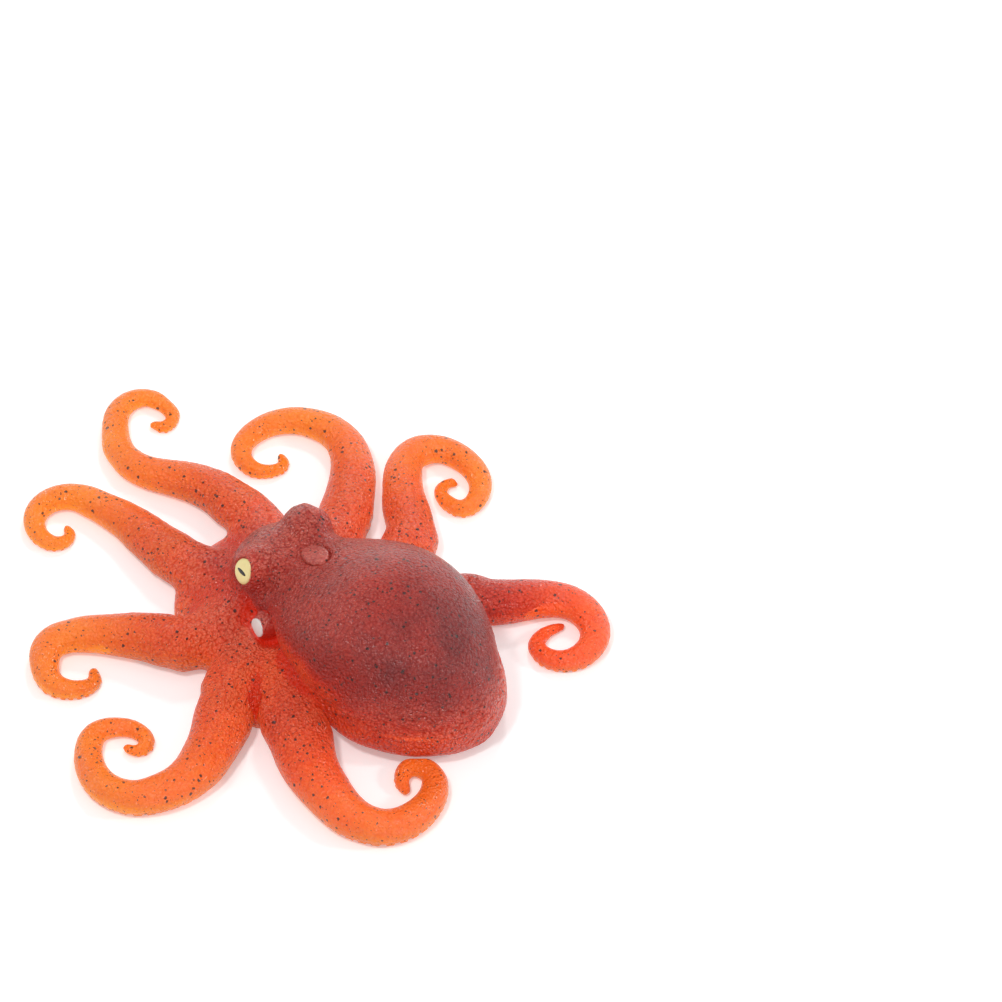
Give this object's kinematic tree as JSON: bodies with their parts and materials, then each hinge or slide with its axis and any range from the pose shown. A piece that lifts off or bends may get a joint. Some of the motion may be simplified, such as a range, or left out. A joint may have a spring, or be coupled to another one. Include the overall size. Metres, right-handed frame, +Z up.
{
  "type": "octopus figurine",
  "caption": "Solid soft rubber octopus figurine lying flat, with a smooth domed mantle, raised eyes, a short siphon and arms that taper to curled tips and flex at their roots.",
  "frame": {"origin": "middle of the ring of arms, on the flat face that the figurine rests on", "axes": "+X to the animal's left, +Y to the rear of its mantle, +Z up"},
  "size_m": [0.1537, 0.1587, 0.0381],
  "materials": {
    "mantle_rubber": "maroon, satin, fine pebbled grain, speckled with dark dots",
    "rim_rubber": "red, glossy, translucent",
    "web_rubber": "red to orange, satin, pebbled, translucent",
    "arm_rubber": "orange, satin, pebbled, translucent, speckled with dark dots",
    "eye_cream": "cream paint, semi-gloss",
    "pupil_black": "black paint, gloss",
    "siphon_white": "off-white paint, satin"
  },
  "bodies": {
    "body": {"mantle_dome": "mantle_rubber", "mantle_rim": "rim_rubber", "crown_plug": "mantle_rubber", "arm_ring": "web_rubber", "siphon": "web_rubber", "siphon_mouth": "siphon_white", "left_eye": "eye_cream", "left_pupil": "pupil_black", "right_eye": "eye_cream", "right_pupil": "pupil_black", "head": "mantle_rubber"},
    "arm_left_1": {"arm_left_1": "arm_rubber"},
    "arm_left_2": {"arm_left_2": "arm_rubber"},
    "arm_left_3": {"arm_left_3": "arm_rubber"},
    "arm_left_4": {"arm_left_4": "arm_rubber"},
    "arm_right_1": {"arm_right_1": "arm_rubber"},
    "arm_right_2": {"arm_right_2": "arm_rubber"},
    "arm_right_3": {"arm_right_3": "arm_rubber"},
    "arm_right_4": {"arm_right_4": "arm_rubber"}
  },
  "joints": [
    {"name": "arm_left_1_lift", "type": "hinge", "parent": "body", "child": "arm_left_1", "pos_m": [0.00772, -0.03095, 0.01015], "axis": [-0.9976, 0.0698, 0], "range_deg": [0, 25], "stiffness_Nm_per_rad": 0.02},
    {"name": "arm_left_2_lift", "type": "hinge", "parent": "body", "child": "arm_left_2", "pos_m": [0.02901, -0.00942, 0.0116], "axis": [-0.866, -0.5, 0], "range_deg": [0, 25], "stiffness_Nm_per_rad": 0.02},
    {"name": "arm_left_3_lift", "type": "hinge", "parent": "body", "child": "arm_left_3", "pos_m": [0.03448, 0.01228, 0.01189], "axis": [0.4067, -0.9135, 0], "range_deg": [0, 25], "stiffness_Nm_per_rad": 0.02},
    {"name": "arm_left_4_swing", "type": "hinge", "parent": "body", "child": "arm_left_4", "pos_m": [0.03741, 0.02542, 0], "axis": [0, 0, -1], "range_deg": [0, 20], "stiffness_Nm_per_rad": 0.02},
    {"name": "arm_right_1_lift", "type": "hinge", "parent": "body", "child": "arm_right_1", "pos_m": [-0.01596, -0.03002, 0.00986], "axis": [-0.9998, 0.0175, 0], "range_deg": [0, 25], "stiffness_Nm_per_rad": 0.02},
    {"name": "arm_right_2_lift", "type": "hinge", "parent": "body", "child": "arm_right_2", "pos_m": [-0.03154, -0.00786, 0.0103], "axis": [-0.5446, 0.8387, 0], "range_deg": [0, 25], "stiffness_Nm_per_rad": 0.02},
    {"name": "arm_right_3_lift", "type": "hinge", "parent": "body", "child": "arm_right_3", "pos_m": [-0.035, 0.01137, 0.01015], "axis": [-0.5299, 0.848, 0], "range_deg": [0, 25], "stiffness_Nm_per_rad": 0.02},
    {"name": "arm_right_4_swing", "type": "hinge", "parent": "body", "child": "arm_right_4", "pos_m": [-0.03633, 0.02887, 0], "axis": [0, 0, 1], "range_deg": [0, 20], "stiffness_Nm_per_rad": 0.02}
  ]
}
